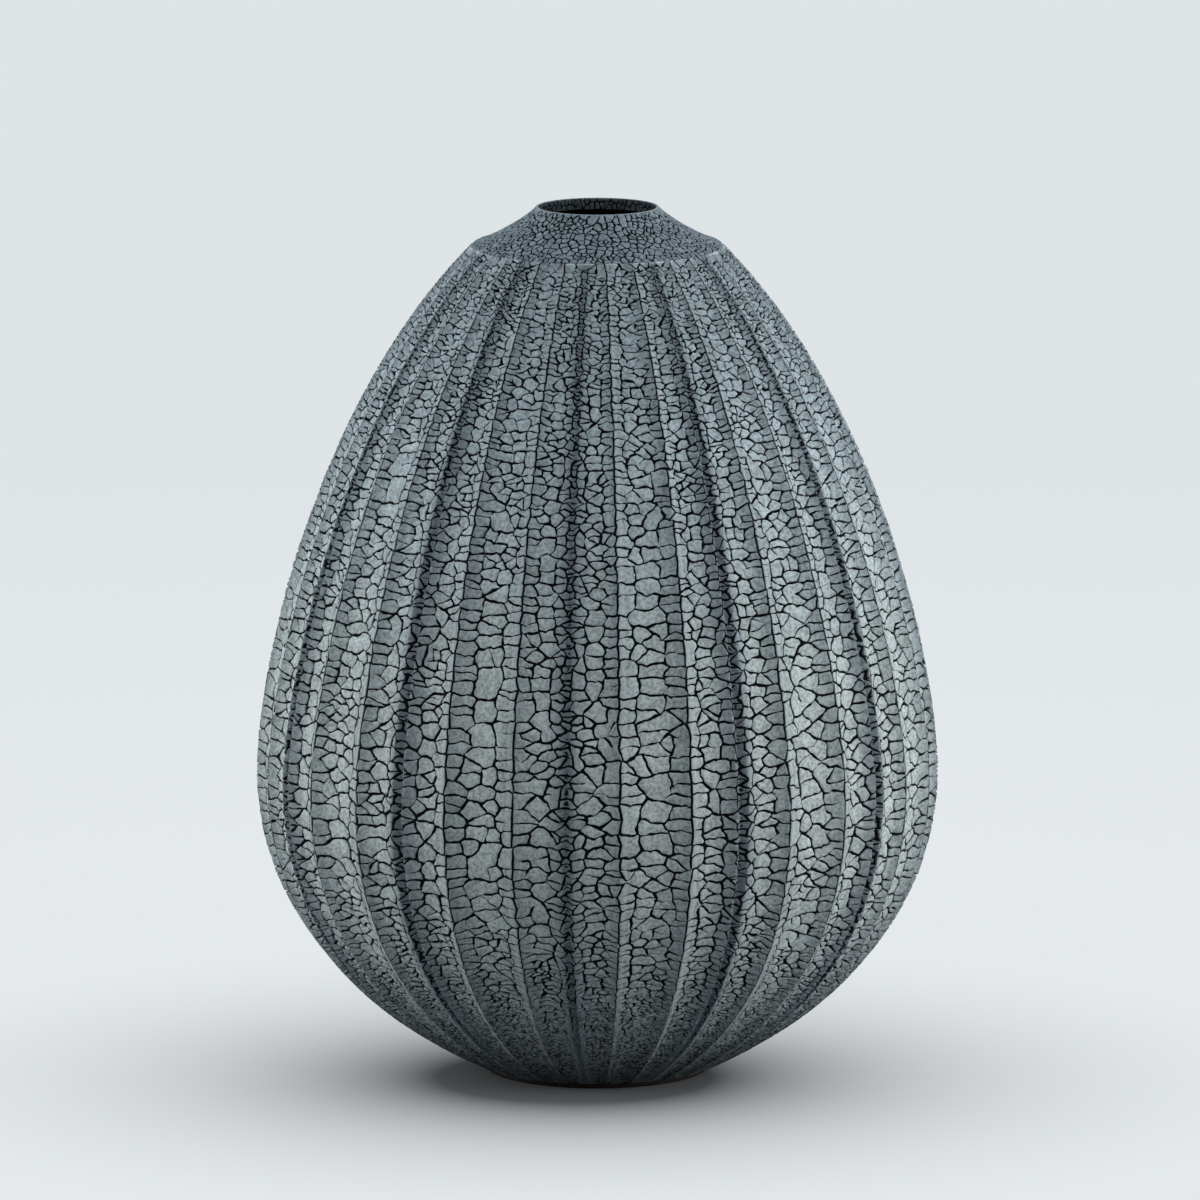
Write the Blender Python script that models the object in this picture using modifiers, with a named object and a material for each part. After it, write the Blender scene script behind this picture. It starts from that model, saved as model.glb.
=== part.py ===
"""Closed-form stoneware jar: carved fluted wall, luted shoulder collar, floor, foot and a crackled slip coat.

Metres, +Z up. The origin is the middle of the face that the jar stands on.
"""
from math import cos, radians, sin

import bmesh
import bpy
import numpy as np

# Heights and radii of the outside, measured over the slip
HEIGHT = 0.300
LIP_RADIUS = 0.0210
STEP_RADIUS = 0.0435
STEP_DROP = 0.0137
BELLY_RADIUS = 0.1173
BELLY_HEIGHT = 0.1060
FOOT_RADIUS = 0.0390
FOOT_HEIGHT = 0.0020
FOOT_OVERHANG = 0.0024

# How the egg outline leaves its three marks: slope, and the reach of each curve handle
SHOULDER_SLOPE = radians(45.6)
SHOULDER_REACH = 0.0780
BELLY_REACH_UP = 0.0306
BELLY_REACH_DOWN = 0.0446
FOOT_SLOPE = radians(25.0)
FOOT_REACH = 0.0530

# Concave flare of the collar, and the rounded band that ends it above the step
LIP_SLOPE = radians(47.0)
LIP_REACH = 0.0065
FLARE_SLOPE = radians(21.0)
FLARE_REACH = 0.0050
BAND_WIDTH = 0.0022
BAND_DROP = 0.0012
STEP_LEDGE = 0.0005

# Thicknesses, and the joint clearance between two luted members
CLEARANCE = 0.0003
SLIP = 0.0010
WALL = 0.0048
COLLAR_WALL = 0.0030
FLOOR_THICKNESS = 0.0080

# Lip and neck
LIP_WIDTH = 0.0012
LIP_EDGE = 0.0004
LIP_CLAY_WIDTH = 0.0008
NECK_SLIP_DEPTH = 0.0045

# Seats where the members are luted together
COLLAR_SEAT = 0.0060
SPIGOT_LENGTH = 0.0040
SPIGOT_WALL = 0.0035
WALL_TOE = 0.0015
FOOT_WIDTH = 0.0070
FOOT_EDGE = 0.0004

# Carved flutes: each group round the jar is a wide flute, a middling one, a groove and a middling one
FLUTE_GROUPS = 12
WIDE_ANGLE = radians(12.0)
GROOVE_ANGLE = radians(2.0)
FIRST_WIDE_BEARING = radians(9.8)
WIDE_DEPTH = 0.0032
MIDDLE_DEPTH = 0.0028
GROOVE_DEPTH = 0.0020
FLUTE_FLATNESS = 2.4
DEPTH_KEPT_AT_STEP = 0.60
DEPTH_KEPT_AT_FOOT = 0.50

# Facets
WIDE_CUTS = 4
UPPER_BANDS = 7
LOWER_BANDS = 5
INNER_BANDS = 8
FLARE_CUTS = 5
TURNED_STEPS = 36
CURVE_SAMPLES = 200

NARROW_CUTS = WIDE_CUTS // 2
STEP_HEIGHT = HEIGHT - STEP_DROP
BODY_BOTTOM = FOOT_HEIGHT + CLEARANCE
CLAY_DEPTH = SLIP + CLEARANCE
DEEPEST_CUT = max(WIDE_DEPTH, MIDDLE_DEPTH, GROOVE_DEPTH)
INSIDE_DEPTH = CLAY_DEPTH + DEEPEST_CUT + WALL


def clear_scene():
    """Start from an empty scene."""
    for old in list(bpy.data.objects):
        bpy.data.objects.remove(old, do_unlink=True)


def bezier(start, start_handle, end_handle, end, count):
    """Points along one cubic curve in the (radius, height) plane, each with its unit vector into the clay."""
    t = np.linspace(0.0, 1.0, count)[:, None]
    corners = [np.array(point) for point in (start, start_handle, end_handle, end)]
    weights = ((1 - t) ** 3, 3 * (1 - t) ** 2 * t, 3 * (1 - t) * t ** 2, t ** 3)
    points = sum(weight * corner for weight, corner in zip(weights, corners))
    legs = [after - before for before, after in zip(corners, corners[1:])]
    along = (1 - t) ** 2 * legs[0] + 2 * (1 - t) * t * legs[1] + t ** 2 * legs[2]
    along /= np.linalg.norm(along, axis=1)[:, None]
    return points, np.column_stack([along[:, 1], -along[:, 0]])


def egg_outline(upper_bands, lower_bands):
    """The body's outside at its ridges, from the step over the belly to the foot."""
    step = np.array([STEP_RADIUS, STEP_HEIGHT])
    belly = np.array([BELLY_RADIUS, BELLY_HEIGHT])
    foot = np.array([FOOT_RADIUS + FOOT_OVERHANG, BODY_BOTTOM])
    from_step = SHOULDER_REACH * np.array([cos(SHOULDER_SLOPE), -sin(SHOULDER_SLOPE)])
    to_foot = FOOT_REACH * np.array([cos(FOOT_SLOPE), sin(FOOT_SLOPE)])
    upper, upper_in = bezier(step, step + from_step, belly + [0.0, BELLY_REACH_UP], belly, upper_bands + 1)
    lower, lower_in = bezier(belly, belly - [0.0, BELLY_REACH_DOWN], foot + to_foot, foot, lower_bands + 1)
    return np.vstack([upper, lower[1:]]), np.vstack([upper_in, lower_in[1:]])


def collar_outline():
    """The collar's concave flare, from the lip down to its corner, and where its band ends above the step."""
    lip = np.array([LIP_RADIUS, HEIGHT])
    band_end = np.array([STEP_RADIUS - STEP_LEDGE, STEP_HEIGHT + CLEARANCE])
    corner = band_end + [-BAND_WIDTH, BAND_DROP]
    from_lip = LIP_REACH * np.array([cos(LIP_SLOPE), -sin(LIP_SLOPE)])
    to_corner = FLARE_REACH * np.array([-cos(FLARE_SLOPE), sin(FLARE_SLOPE)])
    flare, flare_in = bezier(lip, lip + from_lip, corner + to_corner, corner, CURVE_SAMPLES)
    return flare, flare_in, band_end


def collar_below(depth):
    """The collar's outline at a depth below its outside, from the lip down to the level of its seat."""
    flare, flare_in, band_end = collar_outline()
    return np.vstack([flare + flare_in * depth, [band_end - [depth, 0.0]]])


def trim(points, axis, value):
    """The part of a curve whose coordinate on the axis is at least the value, cut at the value."""
    keep = points[:, axis] >= value
    order = np.argsort(points[:, axis])
    other = 1 - axis
    cut = np.empty(2)
    cut[axis] = value
    cut[other] = np.interp(value, points[order, axis], points[order, other])
    return points[keep], cut


def flute_columns():
    """Bearings of the wall's columns, with the depth of the carving at each."""
    middle_angle = (2 * np.pi / FLUTE_GROUPS - WIDE_ANGLE - GROOVE_ANGLE) / 2
    flutes = (
        (WIDE_ANGLE, WIDE_DEPTH, WIDE_CUTS),
        (middle_angle, MIDDLE_DEPTH, NARROW_CUTS),
        (GROOVE_ANGLE, GROOVE_DEPTH, NARROW_CUTS),
        (middle_angle, MIDDLE_DEPTH, NARROW_CUTS),
    )
    bearings = []
    depths = []
    bearing = FIRST_WIDE_BEARING - WIDE_ANGLE / 2
    for _ in range(FLUTE_GROUPS):
        for angle, depth, cuts in flutes:
            for cut in range(cuts):
                across = cut / cuts
                bearings.append(bearing + angle * across)
                depths.append(depth * (1 - abs(2 * across - 1) ** FLUTE_FLATNESS))
            bearing += angle
    return np.array(bearings), np.array(depths)


def carving_strength(outline):
    """How much of the belly's carving depth each ring keeps, by its radius and how near it is to an end."""
    share = outline[:, 0] / BELLY_RADIUS
    height = outline[:, 1]
    up = np.clip((height - BELLY_HEIGHT) / (STEP_HEIGHT - BELLY_HEIGHT), 0.0, 1.0)
    down = np.clip((BELLY_HEIGHT - height) / (BELLY_HEIGHT - BODY_BOTTOM), 0.0, 1.0)
    fade_up = 1 - (1 - DEPTH_KEPT_AT_STEP) * up ** 4
    fade_down = 1 - (1 - DEPTH_KEPT_AT_FOOT) * down ** 4
    return share * fade_up * fade_down


def ring(radii, height, bearings):
    """One level ring of points, seen from above with bearing 0 at the front and turning to the right."""
    heights = np.full(len(bearings), height)
    return np.column_stack([radii * np.sin(bearings), -radii * np.cos(bearings), heights])


def fluted_rings(depth, bearings, depths):
    """Rings of the carved surface at a depth below the outside, cut level at the step and at the foot."""
    outline, normals = egg_outline(UPPER_BANDS, LOWER_BANDS)
    strength = carving_strength(outline)
    ends = {0: STEP_HEIGHT, len(outline) - 1: BODY_BOTTOM}
    rings = []
    for number, (point, normal, kept) in enumerate(zip(outline, normals, strength)):
        below = depth + depths * kept
        if number in ends:
            rings.append(ring(point[0] + below / normal[0], ends[number], bearings))
        else:
            radii = point[0] + normal[0] * below
            heights = point[1] + normal[1] * below
            level = ring(radii, 0.0, bearings)
            level[:, 2] = heights
            rings.append(level)
    return rings


def inside_curve():
    """The smooth inside of the wall, from above its mouth down to below its floor."""
    outline, normals = egg_outline(CURVE_SAMPLES, CURVE_SAMPLES)
    inside = outline + normals * INSIDE_DEPTH
    top = inside[0] + INSIDE_DEPTH * np.array([-cos(SHOULDER_SLOPE), sin(SHOULDER_SLOPE)])
    bottom = inside[-1] - INSIDE_DEPTH * np.array([cos(FOOT_SLOPE), sin(FOOT_SLOPE)])
    return np.vstack([[top], inside, [bottom]])


def spread(points, count):
    """The same curve with its points spread evenly along it."""
    steps = np.linalg.norm(np.diff(points, axis=0), axis=1)
    along = np.concatenate([[0.0], np.cumsum(steps)])
    wanted = np.linspace(0.0, along[-1], count)
    return np.column_stack([np.interp(wanted, along, points[:, axis]) for axis in (0, 1)])


def place(name, mesh, collection, colour, roughness):
    """Put a mesh in the scene as one named piece with its own material."""
    material = bpy.data.materials.new(name)
    material.use_nodes = True
    shader = material.node_tree.nodes["Principled BSDF"]
    shader.inputs["Base Color"].default_value = (*colour, 1.0)
    shader.inputs["Roughness"].default_value = roughness
    shader.inputs["Metallic"].default_value = 0.0
    mesh.materials.append(material)
    piece = bpy.data.objects.new(name, mesh)
    collection.objects.link(piece)
    return piece


def loft(name, rings):
    """A closed skin through rings with the same count of points, the last ring joined to the first."""
    mesh = bpy.data.meshes.new(name)
    form = bmesh.new()
    grid = [[form.verts.new(point) for point in level] for level in rings]
    columns = len(grid[0])
    for upper, lower in zip(grid, grid[1:] + grid[:1]):
        for column in range(columns):
            following = (column + 1) % columns
            form.faces.new((upper[column], lower[column], lower[following], upper[following]))
    bmesh.ops.recalc_face_normals(form, faces=form.faces)
    form.to_mesh(mesh)
    form.free()
    return mesh


def turned(name, profile, collection, colour, roughness):
    """A piece turned on the axis from a closed profile of (radius, height) points."""
    mesh = bpy.data.meshes.new(name)
    count = len(profile)
    points = [(radius, 0.0, height) for radius, height in profile]
    mesh.from_pydata(points, [(number, (number + 1) % count) for number in range(count)], [])
    piece = place(name, mesh, collection, colour, roughness)
    screw = piece.modifiers.new("Turn", "SCREW")
    screw.axis = "Z"
    screw.steps = TURNED_STEPS
    screw.render_steps = TURNED_STEPS
    screw.use_merge_vertices = True
    screw.merge_threshold = 0.00001
    screw.use_smooth_shade = True
    return piece


def wall_outer_radii(bearings, depths):
    """Least radius of the bare wall at the step and at the foot."""
    rings = fluted_rings(CLAY_DEPTH, bearings, depths)
    return [np.hypot(level[:, 0], level[:, 1]).min() for level in (rings[0], rings[-1])]


def make_body_slip(collection, bearings, depths):
    """The slip coat on the carved wall."""
    outside = fluted_rings(0.0, bearings, depths)
    backs = fluted_rings(SLIP, bearings, depths)
    mesh = loft("body_slip", outside + backs[::-1])
    place("body_slip", mesh, collection, (0.20, 0.25, 0.26), 0.75)


def make_fluted_wall(collection, bearings, depths, mouth, floor_bore):
    """The carved wall, with a bore at the top for the collar's spigot and one at the bottom for the floor."""
    outside = fluted_rings(CLAY_DEPTH, bearings, depths)
    curve = inside_curve()
    widest = int(np.argmax(curve[:, 0]))
    upper, mouth_edge = trim(curve[:widest], 0, mouth)
    lower, floor_edge = trim(curve[widest:], 0, floor_bore)
    inside = spread(np.vstack([[mouth_edge], upper, lower, [floor_edge]]), INNER_BANDS + 1)
    levels = [(floor_bore, BODY_BOTTOM), *inside[::-1], (mouth, STEP_HEIGHT)]
    inner = [ring(np.full(len(bearings), radius), height, bearings) for radius, height in levels]
    mesh = loft("fluted_wall", outside + inner)
    place("fluted_wall", mesh, collection, (0.012, 0.013, 0.014), 0.8)


def make_collar(collection, mouth):
    """The clay collar: thin lip, neck, concave flare, seat on the wall's rim and spigot in its mouth."""
    neck = LIP_RADIUS - LIP_WIDTH + CLAY_DEPTH
    outer, lip_edge = trim(collar_below(CLAY_DEPTH), 0, neck + LIP_CLAY_WIDTH)
    under, neck_end = trim(collar_below(CLAY_DEPTH + COLLAR_WALL), 0, neck)
    seat = outer[-1][1]
    spigot = mouth - CLEARANCE
    spigot_inside = spigot - SPIGOT_WALL
    spigot_foot = seat - SPIGOT_LENGTH
    spigot_top = (spigot_inside, np.interp(spigot_inside, under[:, 0], under[:, 1]))
    inside = spread(np.vstack([[neck_end], under[under[:, 0] < spigot_inside], [spigot_top]]), FLARE_CUTS)
    profile = [
        *spread(np.vstack([[lip_edge], outer[:-1]]), FLARE_CUTS),
        outer[-1],
        (spigot, seat),
        (spigot, spigot_foot),
        (spigot_inside, spigot_foot),
        *inside[::-1],
        (neck, lip_edge[1]),
    ]
    turned("shoulder_collar", profile, collection, (0.012, 0.013, 0.014), 0.8)


def make_collar_slip(collection):
    """The slip coat on the collar, over the lip and a little way down the neck."""
    inside = LIP_RADIUS - LIP_WIDTH
    inside_back = inside + SLIP
    outer = collar_below(0.0)
    back, lip_edge = trim(collar_below(SLIP), 0, inside_back + CLEARANCE + LIP_CLAY_WIDTH)
    back_flare = spread(np.vstack([[lip_edge], back[:-1]]), FLARE_CUTS)
    neck_end = HEIGHT - NECK_SLIP_DEPTH
    profile = [
        *spread(outer[:-1], FLARE_CUTS),
        outer[-1],
        back[-1],
        *back_flare[::-1],
        (inside_back, lip_edge[1]),
        (inside_back, neck_end),
        (inside, neck_end),
        (inside, HEIGHT - LIP_EDGE),
        (inside + LIP_EDGE, HEIGHT),
    ]
    turned("collar_slip", profile, collection, (0.17, 0.21, 0.23), 0.75)


def make_floor(collection, floor_bore):
    """The floor, a plain disc in the wall's lower bore."""
    radius = floor_bore - CLEARANCE
    mesh = bpy.data.meshes.new("floor_disc")
    form = bmesh.new()
    bmesh.ops.create_cone(
        form, cap_ends=True, segments=TURNED_STEPS, radius1=radius, radius2=radius, depth=FLOOR_THICKNESS)
    form.to_mesh(mesh)
    form.free()
    disc = place("floor_disc", mesh, collection, (0.012, 0.013, 0.014), 0.8)
    disc.location = (0.0, 0.0, BODY_BOTTOM + FLOOR_THICKNESS / 2)


def make_foot(collection):
    """The low bare foot ring that the jar stands on, with its edges taken off."""
    outer = FOOT_RADIUS
    inner = FOOT_RADIUS - FOOT_WIDTH
    profile = [
        (outer, FOOT_HEIGHT),
        (outer, FOOT_EDGE),
        (outer - FOOT_EDGE, 0.0),
        (inner + FOOT_EDGE, 0.0),
        (inner, FOOT_EDGE),
        (inner, FOOT_HEIGHT),
    ]
    turned("foot_ring", profile, collection, (0.028, 0.020, 0.016), 0.85)


def main():
    clear_scene()
    jar = bpy.data.collections.new("ceramic_jar")
    bpy.context.scene.collection.children.link(jar)
    bearings, depths = flute_columns()
    top, bottom = wall_outer_radii(bearings, depths)
    mouth = top - COLLAR_SEAT
    floor_bore = bottom - WALL_TOE
    make_body_slip(jar, bearings, depths)
    make_fluted_wall(jar, bearings, depths, mouth, floor_bore)
    make_collar(jar, mouth)
    make_collar_slip(jar)
    make_floor(jar, floor_bore)
    make_foot(jar)


main()
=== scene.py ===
"""Looks of a closed-form stoneware flower jar: carved flutes under a slip coat that has cracked into plates.

Metres, +Z up. The front, towards the camera, is -Y, and bearings turn from there to the right.
"""
from math import cos, pi, radians, sin, sqrt, tau

import bpy
import numpy as np
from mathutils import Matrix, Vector
from mathutils.geometry import delaunay_2d_cdt
from mathutils.kdtree import KDTree


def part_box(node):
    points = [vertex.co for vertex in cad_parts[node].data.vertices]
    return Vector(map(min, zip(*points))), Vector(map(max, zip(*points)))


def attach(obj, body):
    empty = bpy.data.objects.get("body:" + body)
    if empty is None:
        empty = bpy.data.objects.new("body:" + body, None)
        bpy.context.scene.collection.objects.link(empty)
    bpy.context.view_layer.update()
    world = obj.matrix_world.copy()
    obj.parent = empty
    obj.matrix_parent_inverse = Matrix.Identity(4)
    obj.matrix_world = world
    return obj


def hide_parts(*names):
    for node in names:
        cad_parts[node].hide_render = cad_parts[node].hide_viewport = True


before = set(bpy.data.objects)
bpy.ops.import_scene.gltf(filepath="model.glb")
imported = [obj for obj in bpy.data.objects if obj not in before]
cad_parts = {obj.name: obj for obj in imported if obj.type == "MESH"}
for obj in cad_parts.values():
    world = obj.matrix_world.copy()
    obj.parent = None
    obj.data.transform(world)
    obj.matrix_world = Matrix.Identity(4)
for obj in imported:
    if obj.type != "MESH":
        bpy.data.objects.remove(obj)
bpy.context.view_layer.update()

MM = 0.001

# Heights and radii of the outside
LIP_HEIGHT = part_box("collar_slip")[1].z
STEP_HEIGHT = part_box("body_slip")[1].z
BODY_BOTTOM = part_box("body_slip")[0].z
FOOT_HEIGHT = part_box("foot_ring")[1].z
FOOT_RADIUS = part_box("foot_ring")[1].x
LIP_RADIUS = 21.0 * MM
STEP_RADIUS = 43.5 * MM
BELLY_RADIUS = 117.3 * MM
BELLY_HEIGHT = 106.0 * MM
FOOT_OVERHANG = 2.4 * MM
FOOT_WIDTH = 7.0 * MM
FOOT_EDGE = 1.7 * MM
INNER_EDGE = 0.4 * MM

# How the egg outline leaves its three marks
SHOULDER_SLOPE = radians(45.6)
SHOULDER_REACH = 78.0 * MM
BELLY_REACH_UP = 30.6 * MM
BELLY_REACH_DOWN = 44.6 * MM
FOOT_SLOPE = radians(25.0)
FOOT_REACH = 53.0 * MM

# The collar's flare, its band above the step, its lip and its neck
LIP_SLOPE = radians(47.0)
LIP_REACH = 6.5 * MM
FLARE_SLOPE = radians(21.0)
FLARE_REACH = 5.0 * MM
BAND_WIDTH = 2.2 * MM
BAND_DROP = 1.2 * MM
STEP_LEDGE = 0.5 * MM
LIP_ROUND = 0.6 * MM
NECK_SLIP_DEPTH = 4.5 * MM
NECK_BARE = 1.3 * MM
COLLAR_WALL = 3.0 * MM
SPIGOT_RADIUS = 35.0 * MM
SPIGOT_LENGTH = 5.0 * MM
SPIGOT_CLEARANCE = 0.3 * MM
SPIGOT_SEAT = 0.2 * MM
BAND_HANDLES = (0.0003, 0.0009)
LIP_EDGE = 0.45 * MM
LIP_SLIP = 0.5 * MM
UNDER_COLLAR = (0.93, 0.35)
ROUND_COLUMNS = 256

# Carved flutes: each group is a wide flute, a middling one, a groove and a middling one
FLUTE_GROUPS = 12
GROUP_ANGLE = tau / FLUTE_GROUPS
WIDE_ANGLE = radians(12.0)
GROOVE_ANGLE = radians(2.0)
MIDDLE_ANGLE = (GROUP_ANGLE - WIDE_ANGLE - GROOVE_ANGLE) / 2
FIRST_RIDGE = radians(9.8) - WIDE_ANGLE / 2
FLUTE_ANGLES = np.array([WIDE_ANGLE, MIDDLE_ANGLE, GROOVE_ANGLE, MIDDLE_ANGLE])
FLUTE_DEPTHS = np.array([3.4, 2.9, 2.3, 2.9]) * MM
FLUTE_FLATNESS = np.array([2.3, 2.3, 2.2, 2.3])
RIDGE_ROUND = 0.5 * MM
FLUTE_EDGES = np.concatenate([[0.0], np.cumsum(FLUTE_ANGLES)])
GROOVE = 2
DEPTH_KEPT_AT_STEP = 0.60
DEPTH_KEPT_AT_FOOT = 0.50
LEVEL_REACH = 0.06
FLUTE_CUTS = (16, 10, 6, 10)
WALL_DEPTH = 9.0 * MM
WALL_TOP_GAP = 0.3 * MM

# Slip plates: their size by height, and the cracks between them
BODY_STRETCH = 0.65
COLLAR_STRETCH = 1.15
PLATE_HEIGHTS = np.array([10, 20, 36, 66, 90, 130, 200, 246, 262, 277, 287]) * MM
PLATE_SIZES = np.array([1.6, 1.8, 2.5, 4.3, 6.3, 5.8, 4.5, 3.5, 3.0, 2.7, 2.6]) * MM
PLATE_SHARES = np.array([1.40, 1.05, 0.40, 1.05])
PLATE_SPREAD = 0.12
PLATE_PATCHES = (14 * MM, 40 * MM)
BODY_TRIES = 160000
COLLAR_TRIES = 6000
BODY_SETTLING = 3
COLLAR_SETTLING = 1
EDGE_PLATE_SHARE = 0.58
BEAD_PLATE_SHARE = 0.70
GROOVE_PLATE_SHARE = 0.48
BEAD_WIDTHS = np.array([2.4, 3.4]) * MM
BEAD_SHARE = 0.225
CORE_HALVES = np.array([0.75, 1.2]) * MM
CORE_SHARE = 0.29
LINE_SWAY = np.array([[0.05], [0.15]]) * MM
UNEVEN_RUNGS = 0.42
UNEVEN_WIDTHS = (0.72, 1.30)
RIDGE_CLEAR = 1.35
MOST_CLEAR = 0.6
# Reach of the painted shade round the grooves
GROOVE_SHADE_REACH = 5.4 * MM
# Painted shade on the flutes' sides, darkest at the ridges
FLANK_PAINTED_SHADE = 0.40
# Stripe on each ridge's lit side: partly a paler bead of slip, partly a painted highlight
STRIPE_RADII = (40 * MM, 112 * MM)
STRIPE_WIDTHS = (0.9 * MM, 2.5 * MM)
STRIPE_SOFTNESS = 0.3 * MM
COLLAR_PLATE = 2.1 * MM
NECK_PLATE = 1.7 * MM
COLLAR_OPENING = 0.70
NECK_OPENING = 0.5
CRACK_HEIGHTS = np.array([10, 24, 40, 70, 90, 200, 246, 262, 287]) * MM
CRACK_OPENING = np.array([0.50, 0.75, 1.00, 1.08, 1.08, 0.84, 0.77, 0.69, 0.62])
RIDGE_CLOSING_HEIGHTS = np.array([30, 60, 95, 200, 287]) * MM
RIDGE_CLOSING = np.array([0.75, 0.42, 0.14, 0.10, 0.15])
FAMILY_SIZE = 2.7
COLLAR_FAMILY_SIZE = 1.5
STRAIGHTENING = 0.6
LINE_GAP = 10.0
EARLY_CRACK = np.array([0.38, 0.46]) * MM
LATE_CRACK = np.array([0.32, 0.42]) * MM
CREST_CRACK = 1.2
CREST_CALM = 0.85
CREST_REACH = 1.5 * MM
HEALED_SHARE = 0.11
STOPPED_SHARE = 0.12
UNOPENED_HEIGHTS = np.array([12, 24, 42]) * MM
UNOPENED = np.array([0.55, 0.35, 0.0])
SHORTEST_EDGE = 0.05 * MM
OUTLINE_STEP = 1.4 * MM
GROOVE_STEP = 0.7 * MM
CORNER_ROUND = 0.32 * MM
RIM_ROUND = 0.14 * MM
RIM_DROP = 0.07 * MM
OPEN_CRACK = 0.12 * MM
CLOSED_RIM = 0.08
CLOSED_CORNER = 0.01
MOST_CUT = 0.3
MOST_SETBACK = 0.45
MOST_INSET = 0.35
RIM_DEPTH = 0.2
END_CALM = 2 * MM
SHARP_ANGLE = radians(50.0)
GROUP_SHEET = 1.12
COLLAR_SHEET = 1.05
PLATE_TILT = 0.016
MOST_LEAN = 0.2 * MM
# Width of the painted highlight along the step's edge
STEP_HIGHLIGHT_WIDTH = 0.4 * MM
WANDER = 0.26 * MM
WANDER_LENGTHS = (3.0 * MM, 8.0 * MM)
JAG = 0.09 * MM
JAG_LENGTHS = (1.1 * MM, 2.4 * MM)
COLLAR_WANDER = 0.5
SLIP = 1.2 * MM
COLLAR_SLIP = 0.7 * MM
BED = 0.85
SKIRT_HEIGHT = 9.0 * MM
GHOST_REACH = 0.25
HAIR = 0.00002

# Colours of the fired clays, and of the painted shade and painted highlights on them
WARM_SLIP = (0.335, 0.372, 0.365)
COOL_SLIP = (0.254, 0.309, 0.336)
COLLAR_TONE = (0.183, 0.225, 0.253)
# Dark slip colour inside the neck, painted shade of the jar's inside
NECK_PAINTED_SHADE = (0.066, 0.081, 0.090)
# Colour of the painted shade in the grooves
GROOVE_SHADE_COLOUR = (0.110, 0.136, 0.156)
# Pale colour of wear and of the painted highlights on the ridges, the lip and the step's edge
PALE_WEAR_AND_HIGHLIGHT = (0.420, 0.460, 0.470)
DARK_CLAY = (0.005, 0.0055, 0.006)
FOOT_CLAY = (0.010, 0.0085, 0.0075)
SHADE_HEIGHTS = np.array([2, 10, 20, 36, 60, 90, 190, 230, 260, 287]) * MM
SHADE = np.array([0.20, 0.35, 0.55, 0.78, 0.94, 0.96, 1.01, 1.01, 0.91, 0.81])
WARMEST_HEIGHT = 0.115
WARM_REACH = 0.095
RIDGE_COOLING = 0.55
PITTING_HEIGHTS = np.array([12, 55]) * MM
PITTING = np.array([1.0, 0.15])
# How strongly the grooves' painted shade darkens the slip
GROOVE_SHADE_TINT = 0.56
# Strength of the pale ridge stripe and lip edge, partly painted highlight
HIGHLIGHT_AND_WEAR_TINT = 0.36

# Studio: floor, lamps, room and camera
# Dark floor colour near the jar: with the real shadow it gives a painted shadow pool that fades into the
# pale glow
SHADOW_POOL_FLOOR = (0.178, 0.186, 0.191)
FLOOR_IN_LIGHT = (0.300, 0.305, 0.310)
STUDIO_NEAR = (0.780, 0.815, 0.840)
STUDIO_FAR = (0.735, 0.775, 0.795)
SHADOW_SQUEEZE = (1.0, 1.08, 1.0)
SHADOW_MIDDLE = (-8 * MM, -20 * MM, 0.0)
SHADOW_EDGE = 47 * MM
SHADOW_HALVING = 60 * MM
HALVINGS = 20
SHADOW_REST = 0.09
FLOOR_FADE = (0.5, 1.4)
FLOOR_REACH = 14.0
LAMP_DISTANCE = 1.2
LAMP_SIZE = (0.9, 0.4)
ROOM_TINT = (0.93, 0.97, 1.0)
FRONT_TO_BACK = (0.87, 1.12)
SIDE_TO_TOP = (0.48, 1.30)
CAMERA_PLACE = (0.9 * MM, -5.0, 1.02)
CAMERA_AIM = (0.9 * MM, 0.0, 0.16335)
CAMERA_LENS = 443.3
SENSOR_WIDTH = 36.0

SEED = 41


def bezier(start, start_handle, end_handle, end, count=240):
    """Points along one cubic curve in the (radius, height) plane."""
    t = np.linspace(0.0, 1.0, count)[:, None]
    corners = (start, start_handle, end_handle, end)
    weights = ((1 - t) ** 3, 3 * (1 - t) ** 2 * t, 3 * (1 - t) * t ** 2, t ** 3)
    return sum(weight * np.array(corner) for weight, corner in zip(weights, corners))


class Outline:
    """A run of (radius, height) points up the outside of the pot, read at any climb.

    Climb is the way along the outline over the radius there, so that a small square of bearing and climb is
    a square on the pot. Stretch is the height of the slip's plates over their width.
    """

    def __init__(self, points, stretch=1.0):
        self.stretch = stretch
        lengths = np.linalg.norm(np.diff(points, axis=0), axis=1)
        moved = np.append(True, lengths > 0)
        points = points[moved]
        lengths = lengths[lengths > 0]
        self.radii, self.heights = points.T
        self.climbs = np.concatenate([[0.0], np.cumsum(2 * lengths / (self.radii[1:] + self.radii[:-1]))])
        self.top = self.climbs[-1]
        along = np.gradient(points, self.climbs, axis=0)
        along /= np.linalg.norm(along, axis=1)[:, None]
        self.inward_radii = -along[:, 1]
        self.inward_heights = along[:, 0]

    def read(self, climb):
        """Radius, height and the two parts of the way into the clay."""
        rows = (self.radii, self.heights, self.inward_radii, self.inward_heights)
        return [np.interp(climb, self.climbs, row) for row in rows]

    def radius(self, climb):
        return np.interp(climb, self.climbs, self.radii)

    def height(self, climb):
        return np.interp(climb, self.climbs, self.heights)

    def climb_at(self, height):
        return float(np.interp(height, self.heights, self.climbs))


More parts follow.
